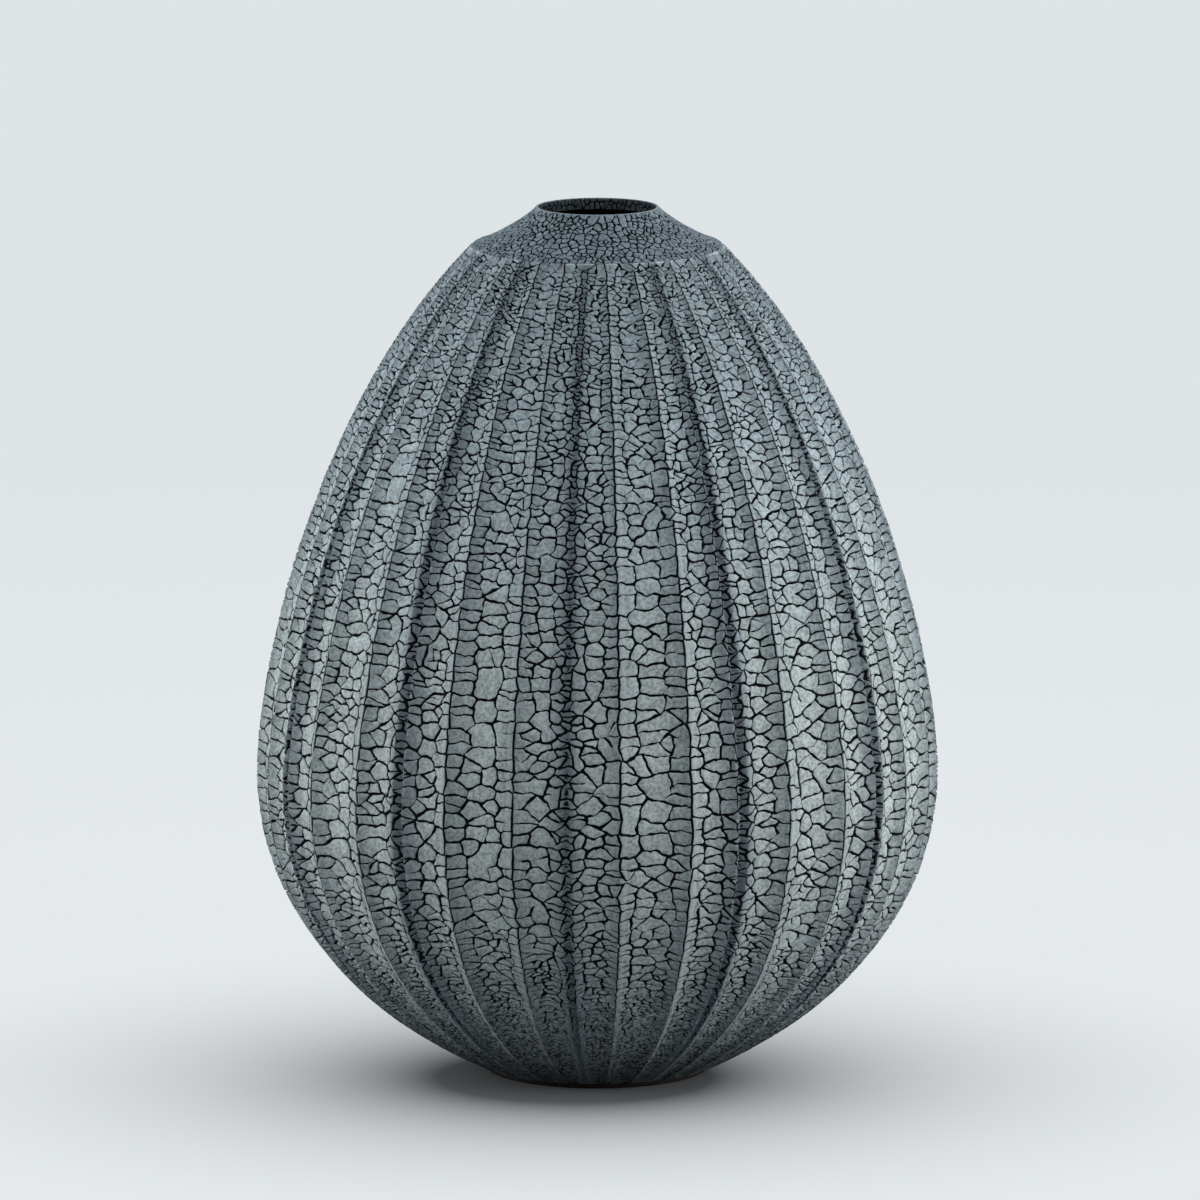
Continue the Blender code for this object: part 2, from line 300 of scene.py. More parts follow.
def egg_outline():
    """The body's outside at its ridges, from the foot over the belly to the step."""
    step = np.array([STEP_RADIUS, STEP_HEIGHT])
    belly = np.array([BELLY_RADIUS, BELLY_HEIGHT])
    foot = np.array([FOOT_RADIUS + FOOT_OVERHANG, BODY_BOTTOM])
    from_step = SHOULDER_REACH * np.array([cos(SHOULDER_SLOPE), -sin(SHOULDER_SLOPE)])
    from_foot = FOOT_REACH * np.array([cos(FOOT_SLOPE), sin(FOOT_SLOPE)])
    lower = bezier(foot, foot + from_foot, belly - [0.0, BELLY_REACH_DOWN], belly)
    upper = bezier(belly, belly + [0.0, BELLY_REACH_UP], step + from_step, step)
    return Outline(np.vstack([lower, upper[1:]]))


def coat_outline():
    """The collar's coat, from its band above the step up the flare, over the lip and down the neck."""
    lip = np.array([LIP_RADIUS, LIP_HEIGHT - LIP_ROUND / 2])
    band_end = np.array([STEP_RADIUS - STEP_LEDGE, STEP_HEIGHT])
    corner = band_end + [-BAND_WIDTH, BAND_DROP]
    to_lip = LIP_REACH * np.array([cos(LIP_SLOPE), -sin(LIP_SLOPE)])
    to_corner = FLARE_REACH * np.array([-cos(FLARE_SLOPE), sin(FLARE_SLOPE)])
    short, long = BAND_HANDLES
    band = bezier(band_end, band_end + [-short, long], corner + [long, -short], corner, 40)
    flare = bezier(corner, corner + to_corner, lip + to_lip, lip)
    turn = np.linspace(pi / 4, pi, 30)
    crest = lip - LIP_ROUND * np.array([cos(pi / 4), sin(pi / 4)])
    over = crest + LIP_ROUND * np.column_stack([np.cos(turn), np.sin(turn)])
    neck = over[-1] - np.column_stack([np.zeros(40), np.linspace(0.0, NECK_SLIP_DEPTH, 40)])
    return Outline(np.vstack([band, flare[1:], over[1:], neck[1:]]))


EGG = egg_outline()
COAT = coat_outline()


def flute_at(bearing):
    """The flute at each bearing, by its number in the group, and how far across it the bearing lies."""
    turn = (bearing - FIRST_RIDGE) % GROUP_ANGLE
    flute = np.clip(np.searchsorted(FLUTE_EDGES, turn, side="right") - 1, 0, len(FLUTE_ANGLES) - 1)
    return flute, (turn - FLUTE_EDGES[flute]) / FLUTE_ANGLES[flute]


def nearness_to_ridge(across):
    """0 in the middle of a flute, 1 on its ridges."""
    return np.abs(2 * across - 1)


def from_ridge(bearing, radius):
    """The way round the pot to the nearest ridge."""
    flute, across = flute_at(bearing)
    return (1 - nearness_to_ridge(across)) * FLUTE_ANGLES[flute] / 2 * radius


def carving_strength(radius, height):
    """How much of the belly's carving depth is kept, by the radius and how near it is to an end."""
    up = np.clip((height - BELLY_HEIGHT) / (STEP_HEIGHT - BELLY_HEIGHT), 0.0, 1.0)
    down = np.clip((BELLY_HEIGHT - height) / (BELLY_HEIGHT - BODY_BOTTOM), 0.0, 1.0)
    fade_up = 1 - (1 - DEPTH_KEPT_AT_STEP) * up ** 4
    fade_down = 1 - (1 - DEPTH_KEPT_AT_FOOT) * down ** 4
    return radius / BELLY_RADIUS * fade_up * fade_down


def painted_flank_shade(bearing):
    """Painted shade across the flutes: the slip is made darker on their sloping sides than in their middle.
    """
    flute, across = flute_at(bearing)
    near = np.where(flute == GROOVE, 1.0, nearness_to_ridge(across))
    return 1 - FLANK_PAINTED_SHADE * near ** 2


def groove_painted_shade(bearing, radius):
    """Painted shade for the grooves: 1 in the middle of a groove, fading out a little beyond its two ridges.
    """
    middle = FIRST_RIDGE + FLUTE_EDGES[GROOVE] + GROOVE_ANGLE / 2
    turn = (bearing - middle + GROUP_ANGLE / 2) % GROUP_ANGLE - GROUP_ANGLE / 2
    reach = GROOVE_SHADE_REACH * np.clip(radius / BELLY_RADIUS, 0.45, 1.0)
    return np.exp(-(turn * radius / reach) ** 2)


def points_round(bearing, radius, height):
    """Points in space from bearings, radii and heights."""
    return np.column_stack([radius * np.sin(bearing), -radius * np.cos(bearing), height])


def carving(bearing):
    """How deep the flutes are cut at each bearing on the belly; the ridges between them are rounded."""
    flute, across = flute_at(bearing)
    half = FLUTE_ANGLES[flute] / 2 * BELLY_RADIUS
    run = (1 - nearness_to_ridge(across)) * half
    eased = np.sqrt(run ** 2 + RIDGE_ROUND ** 2) - RIDGE_ROUND
    return FLUTE_DEPTHS[flute] * (1 - (1 - eased / half) ** FLUTE_FLATNESS[flute])


def on_wall(bearing, climb, below):
    """Points at a depth below the fluted outside; at its two ends the wall is cut level."""
    radius, height, inward_radius, inward_height = EGG.read(climb)
    depth = carving(bearing) * carving_strength(radius, height) + below
    level = np.clip(1 - np.minimum(climb, EGG.top - climb) / LEVEL_REACH, 0.0, 1.0)
    height = height + inward_height * depth * (1 - level)
    return points_round(bearing, radius + inward_radius * depth, height)


def on_collar(bearing, climb, below):
    """Points at a depth below the collar's smooth outside."""
    radius, height, inward_radius, inward_height = COAT.read(climb)
    return points_round(bearing, radius + inward_radius * below, height + inward_height * below)


def ripples(rng, radius, shortest, longest, waves=14):
    """A smooth noise over bearing and climb, about one in size, with these wavelengths at a radius."""
    number = tau * radius / rng.uniform(shortest, longest, waves)
    heading = rng.uniform(0.0, tau, waves)
    round_jar = np.round(number * np.cos(heading))
    up_jar = number * np.sin(heading)
    phase = rng.uniform(0.0, tau, waves)

    def rise(bearing, climb):
        crests = (np.sin(m * bearing + n * climb + p) for m, n, p in zip(round_jar, up_jar, phase))
        return sum(crests) * sqrt(2 / waves)

    return rise


def next_in_ring(owner):
    """Index of the next item of the same owner, and of the one before; an owner's items lie together."""
    index = np.arange(len(owner))
    is_first = np.append(True, owner[1:] != owner[:-1])
    is_last = np.append(is_first[1:], True)
    after = index + 1
    after[is_last] = index[is_first]
    before = index - 1
    before[is_first] = index[is_last]
    return after, before


def with_ghosts(rng, seeds, outline):
    """Seeds with their images past the two ends and on round the jar, and the seed that each one repeats.

    The images lie a hair off their true places, so that no four seeds share a circle.
    """
    count = len(seeds)
    source = np.arange(count)
    turn = outline.stretch * tau
    mirrored = (1, outline.top, [1, -1], [0, 0], [0, 2 * outline.top])
    on_round = (0, turn, [1, 1], [turn, 0], [-turn, 0])
    for axis, end, flip, from_low, from_high in (mirrored, on_round):
        low = seeds[:, axis] < GHOST_REACH
        high = seeds[:, axis] > end - GHOST_REACH
        seeds = np.vstack([seeds, seeds[low] * flip + from_low, seeds[high] * flip + from_high])
        source = np.concatenate([source, source[low], source[high]])
    seeds[count:] += rng.uniform(-HAIR, HAIR, (len(seeds) - count, 2))
    return seeds.astype(np.float32).astype(float), source


def circle_centres(corners):
    """Centre of the circle through each triangle's corners."""
    start = corners[:, 0]
    first = corners[:, 1] - start
    second = corners[:, 2] - start
    first_square = (first ** 2).sum(axis=1)
    second_square = (second ** 2).sum(axis=1)
    twice_area = 2 * (first[:, 0] * second[:, 1] - first[:, 1] * second[:, 0])
    x = (second[:, 1] * first_square - first[:, 1] * second_square) / twice_area
    y = (first[:, 0] * second_square - second[:, 0] * first_square) / twice_area
    return start + np.column_stack([x, y])


def straightened(corners, triangles, family):
    """Corners moved so that a crack between two families runs nearly straight past the later ones."""
    sides = np.stack([triangles, np.roll(triangles, -1, axis=1)], axis=-1)
    pairs = np.sort(sides, axis=-1).reshape(-1, 2)
    order = np.lexsort((pairs[:, 1], pairs[:, 0]))
    ranked = pairs[order]
    same = np.flatnonzero((ranked[1:] == ranked[:-1]).all(axis=1))
    twin = np.arange(len(pairs))
    twin[order[same]] = order[same + 1]
    twin[order[same + 1]] = order[same]
    beyond = corners[(twin // 3).reshape(-1, 3)]
    parted = family[triangles] != np.roll(family[triangles], -1, axis=1)
    junction = np.flatnonzero(parted.sum(axis=1) == 2)
    first, second = beyond[junction][parted[junction]].reshape(-1, 2, 2).transpose(1, 0, 2)
    run = second - first
    share = ((corners[junction] - first) * run).sum(axis=1) / ((run ** 2).sum(axis=1) + 1e-12)
    on_line = first + run * np.clip(share, 0.1, 0.9)[:, None]
    moved = corners.copy()
    moved[junction] += STRAIGHTENING * (on_line - corners[junction])
    return moved


def cell_edges(seeds, count, family=None):
    """Edges of the cells round the first seeds, in turning order: cell, neighbour and both end corners."""
    triangles = np.array(delaunay_2d_cdt([Vector(seed) for seed in seeds], [], [], 0, 1e-9)[2])
    corners = circle_centres(seeds[triangles])
    cell = triangles.ravel()
    start = np.repeat(np.arange(len(triangles)), 3)
    real = cell < count
    cell, start = cell[real], start[real]
    arm = corners[start] - seeds[cell]
    order = np.lexsort((np.arctan2(arm[:, 1], arm[:, 0]), cell))
    cell, start = cell[order], start[order]
    end = start[next_in_ring(cell)[0]]
    mine, theirs = triangles[start], triangles[end]
    shared = (mine[:, :, None] == theirs[:, None, :]).any(axis=2) & (mine != cell[:, None])
    neighbour = mine[np.arange(len(cell)), shared.argmax(axis=1)]
    if family is not None:
        corners = straightened(corners, triangles, family)
    return cell, neighbour, start, end, corners


def settle(rng, seeds, outline, rounds, kept=0):
    """Move the seeds to the middle of their cells, which evens out the plates; the first ones are kept."""
    for _ in range(rounds):
        around, _ = with_ghosts(rng, seeds, outline)
        cell, _, start, end, corners = cell_edges(around, len(seeds))
        lengths = np.linalg.norm(corners[end] - corners[start], axis=1) + 1e-12
        middles = (corners[start] + corners[end]) / 2 * lengths[:, None]
        total = np.bincount(cell, lengths, len(seeds))
        x, y = (np.bincount(cell, row, len(seeds)) / total for row in middles.T)
        moved = np.column_stack([x % (outline.stretch * tau), y])
        seeds = np.vstack([seeds[:kept], moved[kept:]])
    return seeds


def crack_families(rng, seeds, line, family_size):
    """Groups of plates in the open or along one bead; the cracks between two groups opened first."""
    places = np.column_stack([seeds, LINE_GAP * np.maximum(line, 0)])
    heads = places[rng.random(len(seeds)) < 1 / family_size]
    tree = KDTree(len(heads))
    for number, head in enumerate(heads):
        tree.insert(head, number)
    tree.balance()
    return np.array([tree.find(place)[1] for place in places])


def crack_halves(rng, family, line, unopened, cell, other, forward):
    """Half the width of the crack at the two ends of each edge, alike from both of its sides."""
    pairs = np.sort(np.column_stack([cell, other]), axis=1)
    crack = np.unique(pairs, axis=0, return_inverse=True)[1].ravel()
    draw = rng.random((crack.max() + 1, 3))[crack]
    early = family[cell] != family[other]
    low, high = np.where(early[None, :], EARLY_CRACK[:, None], LATE_CRACK[:, None])
    first = np.where(forward, draw[:, 0], draw[:, 1])
    last = np.where(forward, draw[:, 1], draw[:, 0])
    halves = low + (high - low) * np.stack([first, last])
    on_crest = (line[cell] != 0) & (line[cell] == -line[other])
    halves *= np.where(on_crest, CREST_CRACK, 1.0)
    never = unopened + np.where(early, 0.0, HEALED_SHARE) * (1 - unopened)
    partly = never + np.where(early, 0.5 * unopened, STOPPED_SHARE)
    healed = draw[:, 2] < never
    stopped = draw[:, 2] < partly
    halves[0, healed | (stopped & forward)] = 0.0
    halves[1, healed | (stopped & ~forward)] = 0.0
    return halves


def unit(rows):
    """Rows of vectors at length one."""
    return rows / (np.linalg.norm(rows, axis=1)[:, None] + 1e-12)


def inset_corners(corner, along, length, halves, before):
    """The plate's corner at each edge's start, set back from the cracks of the two edges that meet there."""
    inward = np.column_stack([-along[:, 1], along[:, 0]])
    here, there = halves[0], halves[1][before]
    both, apart = inward + inward[before], inward - inward[before]
    both_square = np.maximum((both ** 2).sum(axis=1), 0.5)
    apart_square = np.maximum((apart ** 2).sum(axis=1), 0.3)
    move = both * ((here + there) / both_square)[:, None]
    move = move + apart * ((here - there) / apart_square)[:, None]
    on_mine = np.maximum((move * along).sum(axis=1), 1e-9)
    on_last = np.maximum(-(move * along[before]).sum(axis=1), 1e-9)
    room = np.minimum(MOST_SETBACK * length / on_mine, MOST_SETBACK * length[before] / on_last)
    return corner + move * np.minimum(room, 1.0)[:, None]


def plate_outlines(rng, outline, seeds, line, opening, family_size):
    """Outline points of every plate in turn: owner, family, half the crack there, bearing and climb."""
    around, source = with_ghosts(rng, seeds, outline)
    family = crack_families(rng, seeds, line, family_size)
    cell, neighbour, start, end, corners = cell_edges(around, len(seeds), family[source])
    scale = outline.radius(seeds[cell, 1])[:, None] * np.array([[1 / outline.stretch, 1.0]])
    length = np.linalg.norm((corners[end] - corners[start]) * scale, axis=1)
    kept = length > SHORTEST_EDGE
    cell, neighbour, start, end, scale, length = (
        row[kept] for row in (cell, neighbour, start, end, scale, length))
    other = source[neighbour]
    unopened = np.interp(outline.height(corners[start, 1]), UNOPENED_HEIGHTS, UNOPENED)
    unopened = (unopened + np.interp(outline.height(corners[end, 1]), UNOPENED_HEIGHTS, UNOPENED)) / 2
    halves = crack_halves(rng, family, line, unopened, cell, other, start < end)
    bearings, climbs = np.stack([corners[start], corners[end]], axis=1).transpose(2, 1, 0)
    halves *= opening(bearings / outline.stretch, climbs)
    halves[:, other == cell] = 0.0

    along = unit((corners[end] - corners[start]) * scale)
    after, before = next_in_ring(cell)
    inset = inset_corners(corners[start] * scale, along, length, halves, before) / scale
    open_start, open_end = np.minimum(halves / OPEN_CRACK, 1.0)
    start_round = CORNER_ROUND * np.minimum(open_start, open_end[before])
    end_round = CORNER_ROUND * np.minimum(open_end, open_start[after])
    cut_start, cut_end = (np.clip(cut / length, CLOSED_CORNER, MOST_CUT) for cut in (start_round, end_round))
    middle = (corners[start, 0] + corners[end, 0]) / 2 / outline.stretch
    step = np.where(flute_at(middle)[0] == GROOVE, GROOVE_STEP, OUTLINE_STEP)
    cuts = np.maximum(2, np.ceil(length / step)).astype(int)
    edge = np.repeat(np.arange(len(cell)), cuts)
    part = (np.arange(len(edge)) - np.repeat(np.cumsum(cuts) - cuts, cuts)) / (cuts[edge] - 1)
    part = cut_start[edge] + (1 - cut_start - cut_end)[edge] * part
    drawn = inset[edge] + (inset[after] - inset)[edge] * part[:, None]
    gap = halves[0][edge] + (halves[1] - halves[0])[edge] * part
    owner = cell[edge]
    return {
        "owner": owner,
        "family": family[owner],
        "gap": gap,
        "bearing": drawn[:, 0] / outline.stretch,
        "climb": drawn[:, 1],
    }


def make_wander(rng, share=1.0):
    """Bends that every crack takes alike on both of its sides, as a move sideways and one upwards."""
    wide = [ripples(rng, BELLY_RADIUS, *WANDER_LENGTHS) for _ in range(2)]
    fine = [ripples(rng, BELLY_RADIUS, *JAG_LENGTHS) for _ in range(2)]

    def wander(bearing, climb):
        return [share * (WANDER * slow(bearing, climb) + JAG * quick(bearing, climb))
                for slow, quick in zip(wide, fine)]

    return wander


def wander_off(wander, outline, outlines, carved):
    """Move the outline points by the wander, less sideways along a ridge and less upwards at both ends."""
    bearing, climb = outlines["bearing"], outlines["climb"]
    radius = outline.radius(climb)
    sideways, upwards = wander(bearing, climb)
    if carved:
        near = np.exp(-(from_ridge(bearing, radius) / CREST_REACH) ** 2)
        sideways = sideways * (1 - CREST_CALM * near)
    upwards = upwards * np.clip(np.minimum(climb, outline.top - climb) * radius / END_CALM, 0.0, 1.0)
    outlines["bearing"] = bearing + sideways / radius
    outlines["climb"] = climb + upwards / radius


def mesh_from_faces(name, points, sides, corners, attributes, layout):
    """A mesh from flat arrays, with its values per point and its bake layout."""
    mesh = bpy.data.meshes.new(name)
    mesh.vertices.add(len(points))
    mesh.vertices.foreach_set("co", points.astype(np.float32).ravel())
    mesh.loops.add(len(corners))
    mesh.loops.foreach_set("vertex_index", corners.astype(np.int32))
    mesh.polygons.add(len(sides))
    mesh.polygons.foreach_set("loop_start", (np.cumsum(sides) - sides).astype(np.int32))
    mesh.polygons.foreach_set("use_smooth", np.ones(len(sides), bool))
    mesh.update(calc_edges=True)
    for label, values in attributes.items():
        mesh.attributes.new(label, "FLOAT", "POINT").data.foreach_set("value", values.astype(np.float32))
    sheet = mesh.uv_layers.new(name="OFBake")
    sheet.data.foreach_set("uv", layout[corners].astype(np.float32).ravel())
    mesh.set_sharp_from_angle(angle=SHARP_ANGLE)
    return mesh


def place(name, mesh, material, replaced, slot):
    """Put a mesh on the jar as the piece that stands for a node of the frame."""
    mesh.materials.append(material)
    piece = bpy.data.objects.new(name, mesh)
    bpy.context.scene.collection.objects.link(piece)
    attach(piece, "root")
    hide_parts(replaced)
    return piece


def shade_of(height):
    """How bright the slip is made at a height: darker towards the foot, a little darker near the step."""
    return np.interp(height, SHADE_HEIGHTS, SHADE)


def pitting_of(height):
    """How rough and pitted the slip is at a height: most near the foot."""
    return np.interp(height, PITTING_HEIGHTS, PITTING)


def warmth_of(height, ridge):
    """How warm the slip's grey is: most in the flutes at the belly."""
    bell = np.exp(-((height - WARMEST_HEIGHT) / WARM_REACH) ** 2)
    return bell * (1 - RIDGE_COOLING * ridge ** 2)


def plates(rng, name, surface, outline, outlines, thickness, view, carved):
    """One mesh of closed plates with rounded rims; a family of plates has one tilt and one tone."""
    owner, family, gap, bearing, climb = (
        outlines[label] for label in ("owner", "family", "gap", "bearing", "climb"))
    middle, span = view
    first, order = np.unique(owner, return_index=True, return_inverse=True)[1:]
    order = order.ravel()
    count = len(first)
    number = len(order)
    size = np.bincount(order, minlength=count)
    centre_bearing = np.bincount(order, bearing, count) / size
    whole_turns = tau * np.round((centre_bearing - middle) / tau)
    bearing = bearing - whole_turns[order]
    centre_bearing -= whole_turns
    centre_climb = np.bincount(order, climb, count) / size
    radius = outline.radius(climb)
    clan = np.unique(family, return_inverse=True)[1].ravel()
    clan_size = np.bincount(clan)
    clan_bearing = np.bincount(clan, bearing) / clan_size
    clan_climb = np.bincount(clan, climb) / clan_size
    tilt_right, tilt_up, tone = rng.normal(0.0, 1.0, (3, len(clan_size)))

    def lean_at(clan, bearing, climb):
        right = (bearing - clan_bearing[clan]) * outline.radius(climb)
        up = (climb - clan_climb[clan]) * outline.radius(climb)
        tilted = PLATE_TILT * (tilt_right[clan] * right + tilt_up[clan] * up)
        return np.clip(tilted, -MOST_LEAN, MOST_LEAN)

    lean = lean_at(clan, bearing, climb)
    opened = np.clip(gap / OPEN_CRACK, CLOSED_RIM, 1.0)
    reach = np.hypot(bearing - centre_bearing[order], climb - centre_climb[order]) * radius + 1e-9
    inset = 1 - np.clip(RIM_ROUND * opened / reach, 0.0, MOST_INSET)
    top_bearing = centre_bearing[order] + (bearing - centre_bearing[order]) * inset
    top_climb = centre_climb[order] + (climb - centre_climb[order]) * inset
    mid_bearing = (top_bearing + centre_bearing[order]) / 2
    mid_climb = (top_climb + centre_climb[order]) / 2
    all_bearing = np.concatenate([bearing, top_bearing, bearing, mid_bearing, centre_bearing])
    all_climb = np.concatenate([climb, top_climb, climb, mid_climb, centre_climb])
    mid_lean = lean_at(clan, mid_bearing, mid_climb)
    hub_lean = lean_at(clan[first], centre_bearing, centre_climb)
    base_depth = np.full(number, thickness)
    below = np.concatenate([lean + RIM_DROP * opened ** 2, lean, base_depth, mid_lean, hub_lean])
    points = surface(all_bearing, all_climb, below)

    rim = np.arange(number)
    after = next_in_ring(order)[0]
    crown, base, mid, hub = rim + number, rim + 2 * number, rim + 3 * number, order + 4 * number
    fan = np.column_stack([mid, after + 3 * number, hub]).ravel()
    top = np.column_stack([crown, after + number, after + 3 * number, mid]).ravel()
    bevel = np.column_stack([rim, after, after + number, crown]).ravel()
    wall = np.column_stack([base, after + 2 * number, after, rim]).ravel()
    sides = np.concatenate([np.full(number, 3), np.full(3 * number, 4), size[::-1]])
    corners = np.concatenate([fan, top, bevel, wall, base[::-1]])

    height, all_radius = outline.height(all_climb), outline.radius(all_climb)
    nearness = nearness_to_ridge(flute_at(all_bearing)[1]) * carved
    # Painted shade: the slip is darker towards the ridges
    painted_flanks = painted_flank_shade(all_bearing) if carved else 1.0
    attributes = {
        "Depth": np.repeat([RIM_DEPTH, 0.0, 1.0, 0.0], [number, number, number, number + count]),
        "Tone": np.concatenate([tone[clan]] * 4 + [tone[clan[first]]]),
        "Warmth": warmth_of(height, nearness),
        "Shade": shade_of(height) * painted_flanks,
        "Pitting": pitting_of(height),
        # Painted shade in and beside the grooves
        "GrooveShade": carved * groove_painted_shade(all_bearing, all_radius),
        # Painted highlight along the plates' top edge at the step
        "StepHighlight": carved * (all_climb > outline.top - STEP_HIGHLIGHT_WIDTH / all_radius),
    }
    layout = np.column_stack([0.5 + (all_bearing - middle) / span,
                              0.01 + 0.98 * all_climb / outline.top])
    return mesh_from_faces(name, points, sides, corners, attributes, layout)


def plate_size(height):
    """Width of the plates in the middle of the flutes."""
    return np.interp(height, PLATE_HEIGHTS, PLATE_SIZES)


def rungs(rng, outline, share):
    """Climbs from the outline's bottom to its top, and the radii there, a share of a plate apart."""
    steps = np.diff(outline.climbs) * (outline.radii[1:] + outline.radii[:-1]) / 2
    gaps = share * plate_size((outline.heights[1:] + outline.heights[:-1]) / 2)
    count = np.concatenate([[0.0], np.cumsum(steps / gaps)])
    number = int(count[-1])
    places = np.arange(number) + 0.5 + rng.uniform(-UNEVEN_RUNGS, UNEVEN_RUNGS, number)
    climb = np.interp(places, count, outline.climbs)
    return climb, outline.radius(climb)


def bead_side(ridge):
    """The side of a ridge that its bead of slip lies on: the jar's own side, right or left."""
    return np.where(np.sin(ridge) > 0, 1.0, -1.0)


def bead_half(radius):
    """Half the width of the plates along a ridge."""
    return np.clip(BEAD_SHARE * MIDDLE_ANGLE * radius, *BEAD_WIDTHS) / 2


def core_half(radius):
    """Half the width of the dark plates along the bottom of a groove."""
    return np.clip(CORE_SHARE * GROOVE_ANGLE * radius, *CORE_HALVES)


def ridge_and_groove_lines(rng, outline):
    """Seeds in lines along the ridges and grooves: their places and the number of their line.

    The line on a ridge's bead has its own number, and the line across the ridge from it, which has its
    seeds at the same heights, has that number below zero, so that one straight crack runs along the crest.
    """
    lines = []
    number = 0

    def add(middle, side, away, share, line):
        climb, radius = rungs(rng, outline, share)
        bearing = middle + side * away(radius) * rng.uniform(*UNEVEN_WIDTHS, len(climb)) / radius
        lines.append(np.column_stack([bearing, climb, np.full(len(climb), line)]))

    for group in range(FLUTE_GROUPS):
        start = FIRST_RIDGE + group * GROUP_ANGLE
        for ridge in start + FLUTE_EDGES[:2]:
            number += 1
            add(ridge, bead_side(ridge), bead_half, BEAD_PLATE_SHARE, number)
            across = lines[-1] * [1.0, 1.0, -1.0]
            across[:, 0] = 2 * ridge - across[:, 0]
            lines.append(across)
        middle = start + FLUTE_EDGES[GROOVE] + GROOVE_ANGLE / 2
        add(middle, 0, core_half, GROOVE_PLATE_SHARE, 0)
        for side in (-1, 1):
            number += 1
            add(middle, side, lambda radius: 2 * core_half(radius), BEAD_PLATE_SHARE, number)
    bearing, climb, line = np.vstack(lines).T
    sway = LINE_SWAY * rng.normal(0.0, 1.0, (2, len(climb))) / outline.radius(climb)
    climb = np.clip(climb + sway[1], HAIR, outline.top - HAIR)
    return np.column_stack([(bearing + sway[0]) % tau, climb]), line


def drawn_seeds(rng, outline, radius, size):
    """Which of the places tried become seeds, so that the plates come out at their size."""
    tries = len(radius)
    chance = (radius / size) ** 2 / outline.stretch * tau * outline.top / tries
    return rng.random(tries) < chance


def flute_seeds(rng, outline):
    """Seeds between the lines, scattered by the size of the plates there."""
    bearing = rng.uniform(0.0, tau, BODY_TRIES)
    climb = rng.uniform(0.0, outline.top, BODY_TRIES)
    radius = outline.radius(climb)
    flute, across = flute_at(bearing)
    nearness = nearness_to_ridge(across)
    size = PLATE_SHARES[flute] * plate_size(outline.height(climb))
    size *= 1 - (1 - EDGE_PLATE_SHARE) * nearness ** 2
    size *= np.exp(PLATE_SPREAD * ripples(rng, BELLY_RADIUS, *PLATE_PATCHES)(bearing, climb))
    half = FLUTE_ANGLES[flute] / 2 * radius
    room = np.minimum(RIDGE_CLEAR * 2 * bead_half(radius), MOST_CLEAR * half)
    clear = (flute != GROOVE) & ((1 - nearness) * half > room)
    return np.column_stack([bearing, climb])[clear & drawn_seeds(rng, outline, radius, size)]


def body_opening(outline):
    """How far the body's cracks have opened by bearing and climb: less beside the ridges and at the ends."""
    def opening(bearing, climb):
        height = outline.height(climb)
        nearness = nearness_to_ridge(flute_at(bearing)[1])
        closing = np.interp(height, RIDGE_CLOSING_HEIGHTS, RIDGE_CLOSING)
        return np.interp(height, CRACK_HEIGHTS, CRACK_OPENING) * (1 - closing * nearness ** 2)

    return opening


def body_slip_pieces(rng, material):
    """The cracked slip on the fluted wall, one piece for each group of flutes."""
    start = EGG.climb_at(SKIRT_HEIGHT)
    above = EGG.climbs > start
    first = [EGG.radius(start), EGG.height(start)]
    plated = Outline(np.vstack([first, np.column_stack([EGG.radii, EGG.heights])[above]]), BODY_STRETCH)

    def surface(bearing, climb, below):
        return on_wall(bearing, climb + start, below)

    lined, line = ridge_and_groove_lines(rng, plated)
    open_seeds = flute_seeds(rng, plated)
    seeds = np.vstack([lined, open_seeds]) * [plated.stretch, 1.0]
    line = np.append(line, np.zeros(len(open_seeds)))
    seeds = settle(rng, seeds, plated, BODY_SETTLING, len(lined))
    outlines = plate_outlines(rng, plated, seeds, line, body_opening(plated), FAMILY_SIZE)
    wander_off(make_wander(rng), plated, outlines, True)
    turn = (seeds[:, 0] / plated.stretch - FIRST_RIDGE) % tau
    group_of = (turn // GROUP_ANGLE).astype(int)[outlines["owner"]]
    for group in range(FLUTE_GROUPS):
        name = f"body_slip_group_{group + 1:02d}"
        mine = {label: row[group_of == group] for label, row in outlines.items()}
        view = (FIRST_RIDGE + (group + 0.5) * GROUP_ANGLE, GROUP_SHEET * GROUP_ANGLE)
        mesh = plates(rng, name, surface, plated, mine, SLIP, view, True)
        place(name, mesh, material, "body_slip", "body_slip")


def loft(name, rings, attributes=None):
    """A closed skin through rings with the same count of points, the last ring joined to the first."""
    levels, columns = len(rings), len(rings[0])
    points = np.vstack(rings)
    level, column = np.meshgrid(np.arange(levels), np.arange(columns), indexing="ij")
    here = level * columns + column
    right = level * columns + (column + 1) % columns
    above = (level + 1) % levels * columns + column
    above_right = (level + 1) % levels * columns + (column + 1) % columns
    corners = np.stack([here, right, above_right, above], axis=-1).reshape(-1)
    layout = np.column_stack([column.ravel() / columns, level.ravel() / levels])
    values = attributes or {}
    return mesh_from_faces(name, points, np.full(levels * columns, 4), corners, values, layout)


def level_ring(bearing, radius, height):
    """A ring of points at one radius and height."""
    return points_round(bearing, np.full(len(bearing), radius), np.full(len(bearing), height))


def turned(name, profile, worn_and_lit=0.0):
    """A ring turned on the axis from a closed profile that runs up its outside; marked points are paler,
    partly as wear and partly as a painted highlight on the edge.
    """
    bearing = np.linspace(0.0, tau, ROUND_COLUMNS, endpoint=False)
    rings = [level_ring(bearing, radius, height) for radius, height in profile]
    heights = np.repeat(profile[:, 1], ROUND_COLUMNS)
    worn_and_lit = np.repeat(worn_and_lit * np.ones(len(profile)), ROUND_COLUMNS)
    return loft(name, rings, {"Shade": shade_of(heights), "Pitting": pitting_of(heights), "WornAndLit": worn_and_lit})


